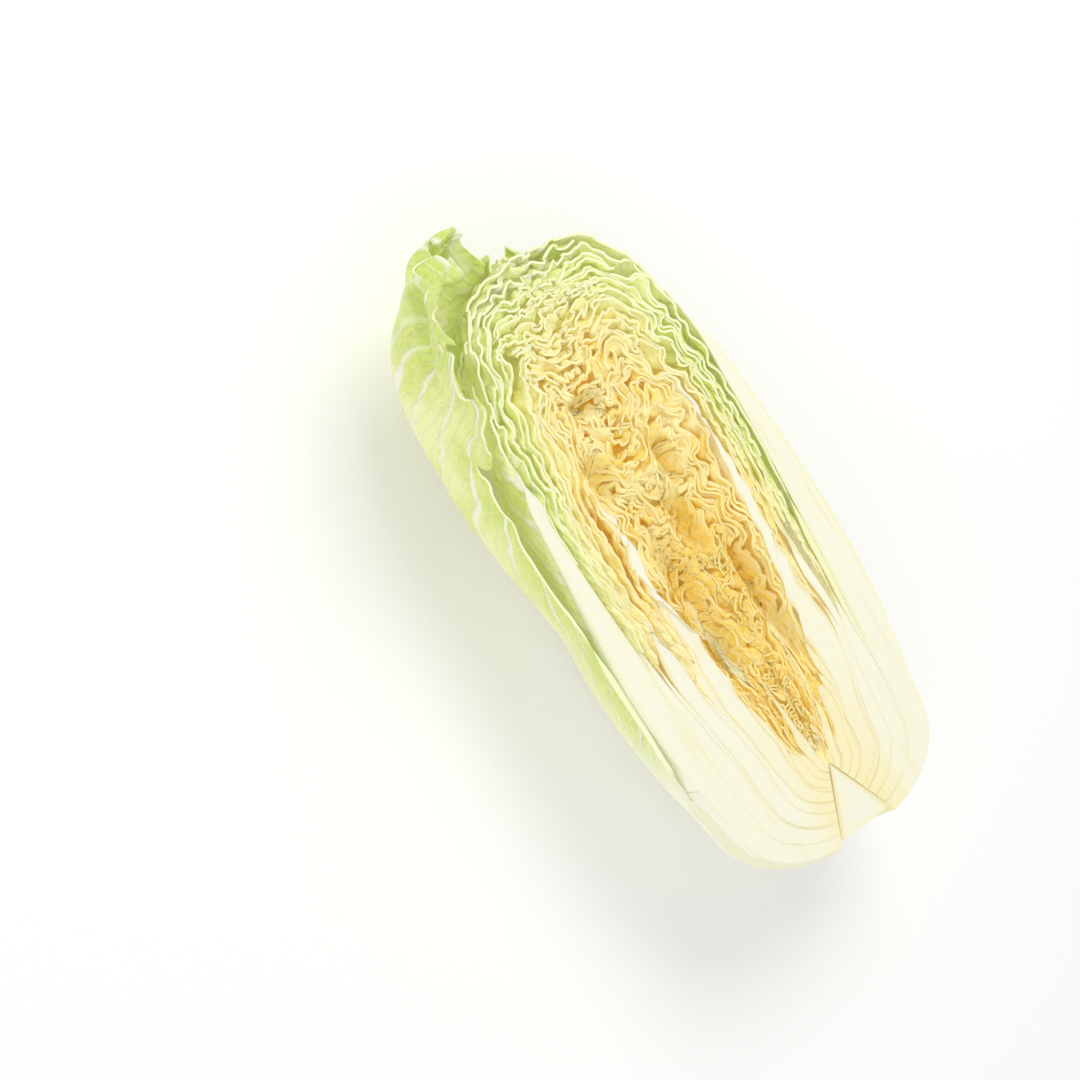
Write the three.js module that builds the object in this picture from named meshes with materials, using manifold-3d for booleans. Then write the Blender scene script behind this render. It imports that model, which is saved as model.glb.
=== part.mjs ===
// Half a napa cabbage, cut lengthwise and lying on its round back, cut face up. Millimetres, +Z up.
// The head grows along +Y, from the butt to the tip. Every leaf is a separate closed solid that springs from
// the short cone of the stem, wraps round the head and ends flat where the knife went through. The leaves are
// stacked along rays from the growing point, so that they lie close together and never touch.
import * as THREE from "three";
import { mergeVertices } from "three/addons/utils/BufferGeometryUtils.js";
import Module from "manifold-3d";

const wasm = await Module();
wasm.setup();

const DEG = Math.PI / 180;

// Driving dimensions of the head
const HEAD_LENGTH = 300; // butt to tip
const HEAD_RADIUS = 74; // half the width of the cut face at its widest
const GROWING_POINT = 38; // from the butt to the tip of the stem, where the youngest leaves are
const BUTT_NARROWING = 0.17; // share of its width that the head loses towards the butt
const STEM_RADIUS = 18; // the foot of the stem, with the leaf bases that are fused to it
const STEM_RECESS = 4; // how far the stem's cut end lies inside the leaf bases
const REST_DEPTH = 70.2; // from the cut face down to the flat spot that the head rests on
const REST_TURN = 14; // degrees that the flat spot reaches to either side of straight down

// Driving dimensions of the leaves
const LEAF_COUNT = 25;
const BLADE = 1.2; // thickness of the soft part of an outer leaf
const RIB_AT_BUTT = 12; // thickness that the white midrib adds at the foot of an outer leaf
const RIB_HALF_WIDTH = 46; // of an outer leaf, at its foot
const RIB_AT_TIP = 4; // half the midrib's width where it runs out
const CLEARANCE = 0.4; // between one leaf and the next
const WAVE = 8.8; // a crinkle of the largest leaf, per radian of its wave
const FLARE = 0.07; // how far a free margin stands out, as a share of the radius

// Turns round the head in degrees: 0 is straight down, 90 is +X and -90 is -X.
const WRAPPER_TURNS = [-38, 97, -100, 14]; // the outermost leaf first
const SPIRAL_STEP = 137.5; // each further leaf grows this far round the stem from the one before
const LAST_KEPT_TURN = 120; // a leaf whose midrib lies further up than this went with the other half

// The outermost leaf stands away from the head at its upper left. Its margin runs just below the cut face, and
// near the tip a flap of it rises above the cut and curls in.
const LOOSE_TURN = -90 * DEG;
const LOOSE_GAP = 0.18; // how far it stands out, as a share of the radius
const LOOSE_SHOULDER = 12; // how far its shoulder stands out sideways
const LOOSE_CURL = 0.12; // how far the flap curls back in
const MARGIN_TURN = -85 * DEG; // where its margin runs
const FLAP_TURN = -107 * DEG; // how far round the flap reaches

// Folds that the leaves share
const FOLD_ACROSS = { height: 1.8, length: 13 }; // length is per radian of the wave
const FOLD_ALONG = { height: 1.4, length: 11 };

const clamp = (x, low = 0, high = 1) => Math.min(high, Math.max(low, x));
const ease = (x, from, to) => {
  const t = clamp((x - from) / (to - from));
  return t * t * (3 - 2 * t);
};
const wrapTurn = (degrees) => ((((degrees + 180) % 360) + 360) % 360) - 180;

// The leaves in order, the outermost first. Inner leaves are smaller and reach further over the tip,
// while the outermost one, which hangs loose, ends short of it.
function leafList() {
  const turns = [...WRAPPER_TURNS];
  let turn = WRAPPER_TURNS.at(-1);
  while (turns.length < LEAF_COUNT) {
    turn = wrapTurn(turn + SPIRAL_STEP);
    if (Math.abs(turn) <= LAST_KEPT_TURN) turns.push(turn);
  }
  return turns.map((degrees, order) => ({
    order,
    wraps: order < WRAPPER_TURNS.length,
    turn: degrees * DEG,
    size: (1 - order / (LEAF_COUNT + 3)) ** 0.8,
    over: order === 0 ? -0.04 : 0.17 + 0.06 * Math.sin(order * 2.4),
    narrow: order < WRAPPER_TURNS.length ? 0.56 : 0.42,
    phase: order * 1.9,
  }));
}
const leaves = leafList();

// Distance from the growing point to the shell that encloses this share of the head, in a direction that is
// tilted this far from the tip's. A shell is a superellipse: blunt for the outer leaves, more pointed inside.
function shellRadius(share, tilt) {
  const narrow = 1 - BUTT_NARROWING * ease(tilt, 35 * DEG, 100 * DEG);
  const half = HEAD_RADIUS * share ** 1.15 * narrow;
  const upwards = tilt <= Math.PI / 2;
  const up = (HEAD_LENGTH - GROWING_POINT) * (1 - (1 - share) ** 1.5);
  const down = GROWING_POINT * share ** 0.9;
  const power = upwards ? 2.6 + 0.7 * share : 2.3;
  const across = Math.abs(Math.sin(tilt)) / half;
  const along = Math.abs(Math.cos(tilt)) / (upwards ? up : down);
  return (across ** power + along ** power) ** (-1 / power);
}

// Height above the growing point on a shell, as a share of the shell's length.
function heightShare(share, tilt) {
  const length = (HEAD_LENGTH - GROWING_POINT) * (1 - (1 - share) ** 1.5);
  return (shellRadius(share, tilt) * Math.cos(tilt)) / length;
}

// How much the back is pressed in by what the head lies on: 1 away from the flat spot.
function pressed(tilt, turn) {
  const down = Math.sin(tilt) * Math.cos(turn);
  return down > 0.05 ? Math.min(1, REST_DEPTH / down / shellRadius(1, tilt)) : 1;
}

// A thickness square to the shell, as it measures along the ray.
function alongRay(thickness, share, tilt) {
  const step = 0.01;
  const slope = (shellRadius(share, tilt + step) - shellRadius(share, tilt - step)) / (2 * step);
  return thickness * Math.min(2.6, Math.hypot(1, slope / shellRadius(share, tilt)));
}

// Positive inside a leaf's outline, and growing towards its midrib. The leaf is seen as a flat map that has
// the tip of the head at its centre: it starts a little past the tip and widens towards the butt.
function inOutline(leaf, tilt, turn) {
  const reach = Math.tan(Math.min(tilt, 78 * DEG));
  const offset = turn - leaf.turn;
  const ahead = reach * Math.cos(offset);
  const aside = reach * Math.sin(offset);
  const scallop = 0.035 * Math.sin(11 * offset + leaf.phase) * Math.min(1, reach);
  return (ahead + leaf.over - leaf.narrow * aside * aside + scallop) / (1 + 2.5 * reach * reach);
}
const presence = (leaf, tilt, turn) => ease(inOutline(leaf, tilt, turn), -0.15, 0);

// The midrib: 1 at its middle, 0 beside it. It fades out where the leaf has passed the tip of the head.
function ribProfile(leaf, tilt, turn) {
  const offset = turn - leaf.turn;
  const pastTip = Math.max(0, -Math.tan(Math.min(tilt, 78 * DEG)) * Math.cos(offset));
  const aside = shellRadius(leaf.size, tilt) * Math.sin(tilt) * Math.sin(offset);
  const widening = clamp((tilt / DEG - 8) / 72) ** 0.8;
  const halfWidth = leaf.size * (RIB_AT_TIP + (RIB_HALF_WIDTH - RIB_AT_TIP) * widening);
  return Math.max(0, 1 - (aside / halfWidth) ** 2) * (1 - ease(pastTip, 0, 0.1));
}
function thickness(leaf, tilt, turn) {
  const taper = clamp((0.9 - heightShare(leaf.size, tilt)) / 0.75);
  const rib = leaf.size * RIB_AT_BUTT * taper;
  return BLADE * (0.75 + 0.25 * leaf.size) + rib * ribProfile(leaf, tilt, turn);
}

// How far a leaf has folded in towards the heart, between its neighbours: 0 is against the outer one.
function crumple(leaf, tilt, turn) {
  const soft = 1 - ease(ribProfile(leaf, tilt, turn), 0, 0.4);
  const height = shellRadius(leaf.size, tilt) * Math.cos(tilt);
  const deep = Math.sin(tilt) * Math.cos(turn);
  const wave = Math.sin(height / (WAVE * leaf.size) + 2.2 * deep + leaf.phase * 1.7);
  const drift = Math.sin(height / (2.3 * WAVE * leaf.size) - 1.6 * deep + leaf.phase);
  const high = ease(height / leaf.size, 20, 90);
  return leaf.wraps ? 0 : soft * high * clamp(0.5 + 0.34 * wave + 0.2 * drift);
}

// The inner and outer radius of every leaf along one ray, outermost leaf first. Each leaf that is there takes
// a slot as deep as its own thickness asks for, and the slots together fill the head.
function stack(tilt, turn) {
  const rows = leaves.map((leaf) => {
    const blade = thickness(leaf, tilt, turn);
    const packed = ease(heightShare(leaf.size, tilt), 0.65, 0.3);
    const wave = Math.sin(2.4 * Math.sin(tilt) * Math.sin(turn) + leaf.phase) ** 2;
    const loose = (1.1 + 0.9 * wave) * (1 - 0.6 * packed);
    const room = presence(leaf, tilt, turn) * alongRay(blade + loose, leaf.size, tilt) + 0.05;
    return { leaf, room, blade: alongRay(blade, leaf.size, tilt) };
  });
  const total = rows.reduce((sum, row) => sum + row.room, 0);
  const press = pressed(tilt, turn);
  const heart = 0.03; // share of the head left free in the middle of the youngest leaf
  let below = 1;
  for (const row of rows) {
    const outside = below;
    below = Math.max(heart, outside - ((1 - heart) * row.room) / total);
    const outer = shellRadius(outside, tilt) * press;
    const slot = outer - shellRadius(below, tilt) * press;
    row.depth = Math.min(row.blade * press, Math.max(slot - CLEARANCE, 0.6 * slot));
    const free = Math.max(0, slot - row.depth - CLEARANCE);
    row.outer = outer - free * crumple(row.leaf, tilt, turn);
    row.share = outside;
  }
  return rows;
}

// How far an uncovered margin stands out, as a share of the radius. None does at the flat spot or the butt.
function flare(leaf, tilt, turn) {
  const edge = 1 - ease(inOutline(leaf, tilt, turn), -0.02, 0.16);
  const uncovered = leaves
    .slice(0, leaf.order)
    .reduce((share, outer) => share * ease(inOutline(outer, tilt, turn), -0.16, -0.34), 1);
  const clear = ease(Math.abs(turn / DEG), REST_TURN, 3 * REST_TURN) * ease(tilt, 80 * DEG, 50 * DEG);
  const frill = 0.55 + 0.45 * Math.sin(14 * turn + 9 * tilt + leaf.phase);
  return FLARE * edge * uncovered * clear * frill;
}

function looseness(tilt, turn) {
  const upper = ease(tilt, 34 * DEG, 22 * DEG) * (0.4 + 0.6 * ease(tilt, 8 * DEG, 20 * DEG));
  const side = ease(turn, LOOSE_TURN + 60 * DEG, LOOSE_TURN + 28 * DEG);
  const back = ease(turn, LOOSE_TURN + 28 * DEG, LOOSE_TURN);
  const curl = ease(turn, LOOSE_TURN, LOOSE_TURN - 34 * DEG);
  return upper * (LOOSE_GAP * side * (1 - 0.67 * back) - LOOSE_CURL * curl);
}
function looseShoulder(tilt, turn) {
  const upper = ease(tilt, 24 * DEG, 10 * DEG) * ease(tilt, 0, 8 * DEG);
  return LOOSE_SHOULDER * upper * ease(turn, LOOSE_TURN + 70 * DEG, LOOSE_TURN + 30 * DEG);
}
function looseOutline(tilt, turn) {
  const limit = MARGIN_TURN + (FLAP_TURN - MARGIN_TURN) * ease(tilt, 25 * DEG, 15 * DEG);
  return (turn - limit) * 0.5;
}

// Two shears in the plane of the cut, which leave it flat.
function fold(point, share) {
  const soft = ease(share, 1, 0.7) * ease(point.y, 60, 130);
  const across = Math.sin(point.y / FOLD_ACROSS.length + point.z / 17 + 0.6);
  point.x += FOLD_ACROSS.height * soft * across;
  const along = Math.sin(point.x / FOLD_ALONG.length + point.z / 15 + 1.3);
  point.y += FOLD_ALONG.height * soft * along;
  return point;
}

const growingPoint = new THREE.Vector3(0, GROWING_POINT, 0);
function onRay(tilt, turn, radius, share) {
  const ray = new THREE.Vector3(
    Math.sin(tilt) * Math.sin(turn),
    Math.cos(tilt),
    -Math.sin(tilt) * Math.cos(turn),
  );
  return fold(ray.multiplyScalar(radius).add(growingPoint), share);
}

// Tilts that divide the head's outline, from the tip to the stem's cone, into steps of equal length.
function tiltSteps(count) {
  const stemTilt = Math.PI - Math.atan2(STEM_RADIUS, GROWING_POINT - 1);
  const samples = 400;
  const lengths = [0];
  const at = (i) => {
    const tilt = (stemTilt * i) / samples;
    const radius = shellRadius(1, tilt);
    return [radius * Math.sin(tilt), radius * Math.cos(tilt)];
  };
  for (let i = 1; i <= samples; i++) {
    const [x0, y0] = at(i - 1);
    const [x1, y1] = at(i);
    lengths.push(lengths[i - 1] + Math.hypot(x1 - x0, y1 - y0));
  }
  return Array.from({ length: count + 1 }, (_, k) => {
    const target = (lengths[samples] * k) / count;
    const i = clamp(lengths.findIndex((length) => length >= target), 1, samples);
    const part = (target - lengths[i - 1]) / (lengths[i] - lengths[i - 1]);
    return (stemTilt * (i - 1 + part)) / samples;
  });
}

// All leaves share this grid of rays, so what is stacked along the rays stays stacked between them.
const ROWS = 22;
const tilts = tiltSteps(ROWS);
const inRadians = (turns) => turns.map((degrees) => degrees * DEG);
const headColumns = inRadians([-90, -66, -40, -REST_TURN, REST_TURN, 40, 66, 90]);
const looseColumns = [...inRadians([-110, -103, -97]), ...headColumns];

// One leaf as a closed solid: the grid, cut along the leaf's outline, with an inner and an outer face.
function leafGeometry(leaf) {
  const loose = leaf.order === 0;
  const columns = loose ? looseColumns : headColumns;
  const ray = (tilt, turn) => {
    const row = stack(tilt, turn)[leaf.order];
    const lift = 1 + flare(leaf, tilt, turn) + (loose ? looseness(tilt, turn) : 0);
    const outer = row.outer * lift;
    const outline = inOutline(leaf, tilt, turn);
    const aside = new THREE.Vector3(loose ? looseShoulder(tilt, turn) : 0, 0, 0);
    return {
      outer: onRay(tilt, turn, outer, row.share).sub(aside),
      inner: onRay(tilt, turn, Math.max(0.4, outer - row.depth), row.share).sub(aside),
      inside: loose ? Math.min(outline, looseOutline(tilt, turn)) : outline,
    };
  };
  const tip = { ...ray(0, 0), key: "tip" };
  const grid = tilts.map((tilt, i) =>
    columns.map((turn, j) => (i === 0 ? tip : { ...ray(tilt, turn), key: i + "," + j })),
  );

  const outerPoints = [];
  const innerPoints = [];
  const indexOf = new Map();
  const place = (key, outer, inner) => {
    if (!indexOf.has(key)) {
      indexOf.set(key, outerPoints.length);
      outerPoints.push(outer);
      innerPoints.push(inner);
    }
    return indexOf.get(key);
  };
  // The part of a triangle that lies inside the outline
  const faces = [];
  const addTriangle = (corners) => {
    const kept = [];
    corners.forEach((a, n) => {
      const b = corners[(n + 1) % 3];
      if (a.inside > 0) kept.push(place(a.key, a.outer, a.inner));
      if (a.inside > 0 !== b.inside > 0) {
        const [p, q] = a.key < b.key ? [a, b] : [b, a];
        const part = clamp(p.inside / (p.inside - q.inside), 0.15, 0.85);
        const outer = p.outer.clone().lerp(q.outer, part);
        const inner = p.inner.clone().lerp(q.inner, part);
        kept.push(place(p.key + "|" + q.key, outer, inner));
      }
    });
    for (let n = 2; n < kept.length; n++) faces.push([kept[0], kept[n - 1], kept[n]]);
  };
  for (let i = 0; i < tilts.length - 1; i++)
    for (let j = 0; j < columns.length - 1; j++) {
      const [a, b, c, d] = [grid[i][j], grid[i][j + 1], grid[i + 1][j + 1], grid[i + 1][j]];
      if (i > 0) addTriangle([a, b, c]);
      addTriangle([a, c, d]);
    }

  // The inner face is the outer one turned round, and a wall joins them along every open edge.
  const count = outerPoints.length;
  const index = [];
  const edges = new Set(faces.flatMap(([a, b, c]) => [a + ">" + b, b + ">" + c, c + ">" + a]));
  for (const [a, b, c] of faces) {
    index.push(a, b, c, count + a, count + c, count + b);
    for (const [p, q] of [[a, b], [b, c], [c, a]])
      if (!edges.has(q + ">" + p)) index.push(q, p, count + p, q, count + p, count + q);
  }
  const geometry = new THREE.BufferGeometry().setFromPoints([...outerPoints, ...innerPoints]);
  geometry.setIndex(index);
  return geometry;
}

function solidOf(geometry) {
  const bare = geometry.clone();
  bare.deleteAttribute("normal");
  bare.deleteAttribute("uv");
  const merged = mergeVertices(bare, 1e-4);
  return new wasm.Manifold(
    new wasm.Mesh({
      numProp: 3,
      vertProperties: merged.attributes.position.array,
      triVerts: new Uint32Array(merged.index.array),
    }),
  );
}
function geometryOf(solid) {
  const { vertProperties, triVerts } = solid.getMesh();
  return new THREE.BufferGeometry()
    .setAttribute("position", new THREE.BufferAttribute(new Float32Array(vertProperties), 3))
    .setIndex(new THREE.BufferAttribute(new Uint32Array(triVerts), 1));
}

// A leaf in one piece: scraps that its outline left loose are dropped.
function wholeLeaf(leaf) {
  const pieces = solidOf(leafGeometry(leaf)).decompose();
  return geometryOf(pieces.reduce((best, piece) => (piece.volume() > best.volume() ? piece : best)));
}

// The stem: a short cone with its cut end at the butt, halved by the same cut as the leaves.
function stemGeometry() {
  const profile = [
    [0, STEM_RECESS],
    [STEM_RADIUS - 5, STEM_RECESS + 0.4],
    [STEM_RADIUS - 3, STEM_RECESS + 2],
    [STEM_RADIUS * 0.42, GROWING_POINT * 0.55],
    [0, GROWING_POINT - 2.5],
  ].map(([x, y]) => new THREE.Vector2(x, y));
  const whole = new THREE.LatheGeometry(profile, 12);
  const side = 4 * STEM_RADIUS;
  const otherHalf = new THREE.BoxGeometry(side, 4 * GROWING_POINT, side).translate(0, 0, side / 2);
  return geometryOf(solidOf(whole).subtract(solidOf(otherHalf)));
}

const finishes = {
  wrapper: new THREE.MeshStandardMaterial({ color: 0xa9c46a, roughness: 0.55, metalness: 0 }),
  head: new THREE.MeshStandardMaterial({ color: 0xdfe6a8, roughness: 0.5, metalness: 0 }),
  heart: new THREE.MeshStandardMaterial({ color: 0xf0cf6e, roughness: 0.5, metalness: 0 }),
  stem: new THREE.MeshStandardMaterial({ color: 0xf6f1d6, roughness: 0.45, metalness: 0 }),
};
const FIRST_HEART_LEAF = 14;
function kindOf(leaf) {
  if (leaf.wraps) return "wrapper";
  return leaf.order < FIRST_HEART_LEAF ? "head" : "heart";
}

const head = new THREE.Group();
for (const leaf of leaves) {
  const mesh = new THREE.Mesh(wholeLeaf(leaf), finishes[kindOf(leaf)]);
  mesh.name = kindOf(leaf) + "_leaf_" + String(leaf.order + 1).padStart(2, "0");
  head.add(mesh);
}
const stem = new THREE.Mesh(stemGeometry(), finishes.stem);
stem.name = "stem";
head.add(stem);

// The origin is under the middle of the head, on what it lies on.
const bounds = new THREE.Box3().setFromObject(head, true);
const middle = bounds.getCenter(new THREE.Vector3());
head.position.set(-middle.x, -middle.y, -bounds.min.z);

const cabbage = new THREE.Group();
cabbage.add(head);
export default cabbage;
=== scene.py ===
# %% [markdown]
# # Half a napa cabbage
# The head was cut lengthwise and lies on its round back, so that the cut face looks up. What makes it look real
# is the cut: thick white ribs packed at the sides, and between them soft yellow leaf, crumpled so tightly that
# the knife met each leaf many times. The solids that this scene starts from have the leaves in place. Here each
# one gets a finer sheet with its crumples, its veins and its own finish.

# %% Load the solids
import math

import bpy
import numpy as np
from mathutils import Matrix, Vector


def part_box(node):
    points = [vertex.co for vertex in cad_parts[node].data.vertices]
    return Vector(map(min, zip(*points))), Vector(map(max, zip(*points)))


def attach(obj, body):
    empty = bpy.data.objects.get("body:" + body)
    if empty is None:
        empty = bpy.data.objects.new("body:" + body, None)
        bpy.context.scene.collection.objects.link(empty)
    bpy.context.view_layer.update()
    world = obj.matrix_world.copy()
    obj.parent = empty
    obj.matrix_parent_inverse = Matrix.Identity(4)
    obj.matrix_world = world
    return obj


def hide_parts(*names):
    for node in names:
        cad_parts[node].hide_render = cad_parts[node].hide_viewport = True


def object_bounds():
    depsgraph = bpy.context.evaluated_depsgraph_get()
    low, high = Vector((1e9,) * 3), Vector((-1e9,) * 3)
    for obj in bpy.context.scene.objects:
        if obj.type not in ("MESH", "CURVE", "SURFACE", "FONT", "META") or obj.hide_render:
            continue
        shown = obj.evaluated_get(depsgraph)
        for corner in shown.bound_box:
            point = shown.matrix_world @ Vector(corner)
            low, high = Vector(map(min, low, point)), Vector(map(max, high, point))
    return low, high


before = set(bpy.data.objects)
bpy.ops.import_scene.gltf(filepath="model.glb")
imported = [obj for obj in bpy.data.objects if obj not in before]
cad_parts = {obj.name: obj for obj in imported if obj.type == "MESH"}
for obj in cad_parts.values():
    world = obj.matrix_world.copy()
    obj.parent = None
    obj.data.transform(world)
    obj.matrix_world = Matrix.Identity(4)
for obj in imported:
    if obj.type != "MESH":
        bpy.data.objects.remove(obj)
solid_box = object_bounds()
scene = bpy.context.scene
MM = 0.001
print("leaves and stem:", len(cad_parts), "box", [round(v, 3) for v in solid_box[1] - solid_box[0]])

# %% [markdown]
# ## Where the head is
# The shapes below are worked out in the head's own millimetres: y runs from the butt to the tip, x lies across
# the cut, and the knife went through z = 0. The stem is the one piece whose place is easy to read back, because
# it is the same on both sides: its top is the cut, its middle is x = 0, and its foot starts just inside the butt.

# %% The head's own axes
STEM_RECESS = 4.0
stem_low, stem_high = (np.array(corner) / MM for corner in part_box("stem"))
HEAD_ORIGIN = np.array([(stem_low[0] + stem_high[0]) / 2, stem_low[1] - STEM_RECESS, stem_high[2]])


def to_frame(points):
    """Head millimetres to the frame's metres."""
    return (np.asarray(points, float) + HEAD_ORIGIN) * MM


print("head origin in the frame, mm:", HEAD_ORIGIN.round(2))

# %% [markdown]
# ## Camera
# A camera is easiest to place from what it should see. The line of sight is given by two turns away from the
# square view of the cut face, and the picture is rolled so that the head's axis leans as it does in the photo.
# One point of the cut face is then put at its own place in the picture by sliding the camera sideways.

# %% Camera
LENS = 85.0
DISTANCE = 1128.0
SIDE_TURN = math.radians(31)
TIP_TURN = math.radians(3)
AXIS_LEAN = math.radians(31.46)
AIM_POINT = np.array([9.5, 145.0, 0.0])
AIM_PIXEL = (716.5, 543.5)
IMAGE_SIZE = 1080
SENSOR = 36.0

toward_camera = np.array([-math.sin(SIDE_TURN) * math.cos(TIP_TURN), math.sin(TIP_TURN),
                          math.cos(SIDE_TURN) * math.cos(TIP_TURN)])
along_head = np.array([0.0, 1.0, 0.0]) - toward_camera * toward_camera[1]
along_head /= np.linalg.norm(along_head)
across_head = np.cross(along_head, toward_camera)
image_up = along_head * math.cos(AXIS_LEAN) + across_head * math.sin(AXIS_LEAN)
image_right = across_head * math.cos(AXIS_LEAN) - along_head * math.sin(AXIS_LEAN)
mm_per_pixel = DISTANCE * SENSOR / LENS / IMAGE_SIZE
slide_right = (AIM_PIXEL[0] - IMAGE_SIZE / 2) * mm_per_pixel
slide_up = (IMAGE_SIZE / 2 - AIM_PIXEL[1]) * mm_per_pixel
camera_place = AIM_POINT + toward_camera * DISTANCE - image_right * slide_right - image_up * slide_up

camera = bpy.data.objects.new("camera", bpy.data.cameras.new("camera"))
scene.collection.objects.link(camera)
turned = Matrix([image_right, image_up, toward_camera]).transposed().to_4x4()
camera.matrix_world = Matrix.Translation(Vector(to_frame(camera_place))) @ turned
camera.data.lens = LENS
camera.data.sensor_width = SENSOR
camera.data.clip_end = 20
scene.camera = camera
print("picture scale, pixels per mm:", round(1 / mm_per_pixel, 2))

# %% [markdown]
# ## Light and floor
# The photo is bright and almost without shadow, as food is lit on a white sweep. A pale surrounding light fills
# the folds, one large soft lamp gives the leaves their direction, and a second one keeps the far side open.

# %% Light and floor
world = bpy.data.worlds.new("studio")
world.use_nodes = True
sky = world.node_tree.nodes["Background"]
sky.inputs["Color"].default_value = (1.0, 1.0, 1.0, 1)
sky.inputs["Strength"].default_value = 0.66
scene.world = world
scene.view_settings.view_transform = "Standard"


def soft_lamp(name, place, size, power):
    """A square lamp that faces the middle of the head."""
    lamp = bpy.data.objects.new(name, bpy.data.lights.new(name, "AREA"))
    scene.collection.objects.link(lamp)
    lamp.data.shape = "SQUARE"
    lamp.data.size = size
    lamp.data.energy = power
    lamp.location = place
    lamp.rotation_mode = "QUATERNION"
    lamp.rotation_quaternion = (Vector((0, 0, 0.04)) - Vector(place)).to_track_quat("-Z", "Y")
    return lamp


soft_lamp("key_lamp", (0.55, 0.75, 1.25), 0.9, 9)
soft_lamp("fill_lamp", (-1.1, -0.5, 1.0), 1.4, 5.5)

REACH = 4.0
floor_mesh = bpy.data.meshes.new("floor")
floor_mesh.from_pydata([(-REACH, -REACH, 0), (REACH, -REACH, 0), (REACH, REACH, 0), (-REACH, REACH, 0)], [],
                       [(0, 1, 2, 3)])
floor = bpy.data.objects.new("floor", floor_mesh)
scene.collection.objects.link(floor)
floor_finish = bpy.data.materials.new("pale_floor")
floor_finish.use_nodes = True
floor_shader = floor_finish.node_tree.nodes["Principled BSDF"]
floor_shader.inputs["Base Color"].default_value = (0.97, 0.97, 0.96, 1)
floor_shader.inputs["Roughness"].default_value = 0.8
floor_mesh.materials.append(floor_finish)

# %% [markdown]
# ## The leaves as a list
# A cabbage sets each new leaf 137.5 degrees further round its stem. Four outer leaves have turns of their own,
# the rest follow the spiral, and a leaf that grew on the far side went away with the other half.

# %% The leaves
HEAD_LENGTH = 300.0
HEAD_RADIUS = 74.0
GROWING_POINT = 38.0
BUTT_NARROWING = 0.17
STEM_RADIUS = 18.0
REST_DEPTH = 70.2
REST_TURN = math.radians(14)
LEAF_COUNT = 25
FIRST_HEART_LEAF = 14
WRAPPER_TURNS = [-38, 97, -100, 14]
SPIRAL_STEP = 137.5
LAST_KEPT_TURN = 120


class Leaf:
    """Where one leaf grows, how large it is, and the small things in which it differs from its neighbours."""

    def __init__(self, order, turn):
        self.order = order
        self.turn = math.radians(turn)
        self.wraps = order < len(WRAPPER_TURNS)
        self.kind = "wrapper" if self.wraps else "head" if order < FIRST_HEART_LEAF else "heart"
        self.node = f"{self.kind}_leaf_{order + 1:02d}"
        self.size = (1 - order / (LEAF_COUNT + 3)) ** 0.8
        self.over = 0.17 + 0.06 * math.sin(order * 2.4) if order else -0.04
        self.narrow = 0.56 if self.wraps else 0.42
        self.phase = order * 1.9


def spiral():
    """Turns of all leaves, outermost first."""
    turns = list(WRAPPER_TURNS)
    turn = turns[-1]
    while len(turns) < LEAF_COUNT:
        turn = (turn + SPIRAL_STEP + 180) % 360 - 180
        if abs(turn) <= LAST_KEPT_TURN:
            turns.append(turn)
    return turns


leaves = [Leaf(order, turn) for order, turn in enumerate(spiral())]
print("turns:", [round(math.degrees(leaf.turn)) for leaf in leaves])

# %% [markdown]
# ## Shells
# The head is a set of nested shells round the growing point. A direction has a tilt away from the tip and a turn
# round the axis, and each shell answers how far out it lies in that direction. The same formula serves every
# leaf, so neighbours can lie close and still never cross. Whole arrays of directions go through it at once.

# %% Shells
BUTT_POWER = 2.3
TIP_POWER = 2.6
TIP_POWER_GAIN = 0.7


def ease(x, start, end):
    """A smooth step from 0 at start to 1 at end."""
    t = np.clip((x - start) / (end - start), 0, 1)
    return t * t * (3 - 2 * t)


def ease_degrees(angle, start, end):
    """The same step for an angle, between two values in degrees."""
    return ease(angle, math.radians(start), math.radians(end))


def shell_height(share):
    """How far a shell reaches above the growing point."""
    return (HEAD_LENGTH - GROWING_POINT) * (1 - (1 - share) ** 1.5)


def shell_half_width(share):
    return HEAD_RADIUS * share**1.15


def shell_radius(share, tilt):
    """Distance from the growing point to the shell that encloses this share of the head."""
    half = shell_half_width(share) * (1 - BUTT_NARROWING * ease_degrees(tilt, 35, 100))
    upwards = tilt <= math.pi / 2
    down = GROWING_POINT * share**0.9
    power = np.where(upwards, TIP_POWER + TIP_POWER_GAIN * share, BUTT_POWER)
    across = np.abs(np.sin(tilt)) / half
    along = np.abs(np.cos(tilt)) / np.where(upwards, shell_height(share), down)
    return (across**power + along**power) ** (-1 / power)


def height_share(share, tilt):
    """Height above the growing point on a shell, as a share of the shell's height."""
    return shell_radius(share, tilt) * np.cos(tilt) / shell_height(share)


def pressed(tilt, turn):
    """How much the back is pressed in by the surface it lies on."""
    down = np.maximum(np.sin(tilt) * np.cos(turn), 0.05)
    return np.minimum(1, REST_DEPTH / down / shell_radius(1.0, tilt))


def steepness(share, tilt):
    """How much longer a thickness is along the ray than square to the shell."""
    step = 0.01
    slope = (shell_radius(share, tilt + step) - shell_radius(share, tilt - step)) / (2 * step)
    return np.minimum(2.6, np.hypot(1, slope / shell_radius(share, tilt)))


def on_ray(tilt, turn, radius):
    """Points at this distance from the growing point, in head millimetres."""
    return np.stack([radius * np.sin(tilt) * np.sin(turn), GROWING_POINT + radius * np.cos(tilt),
                     -radius * np.sin(tilt) * np.cos(turn)], axis=-1)


upper_tilts = np.radians(np.arange(1, 90.0))
print("widest shell, mm:", round(float(2 * (shell_radius(1.0, upper_tilts) * np.sin(upper_tilts)).max()), 1))

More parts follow.
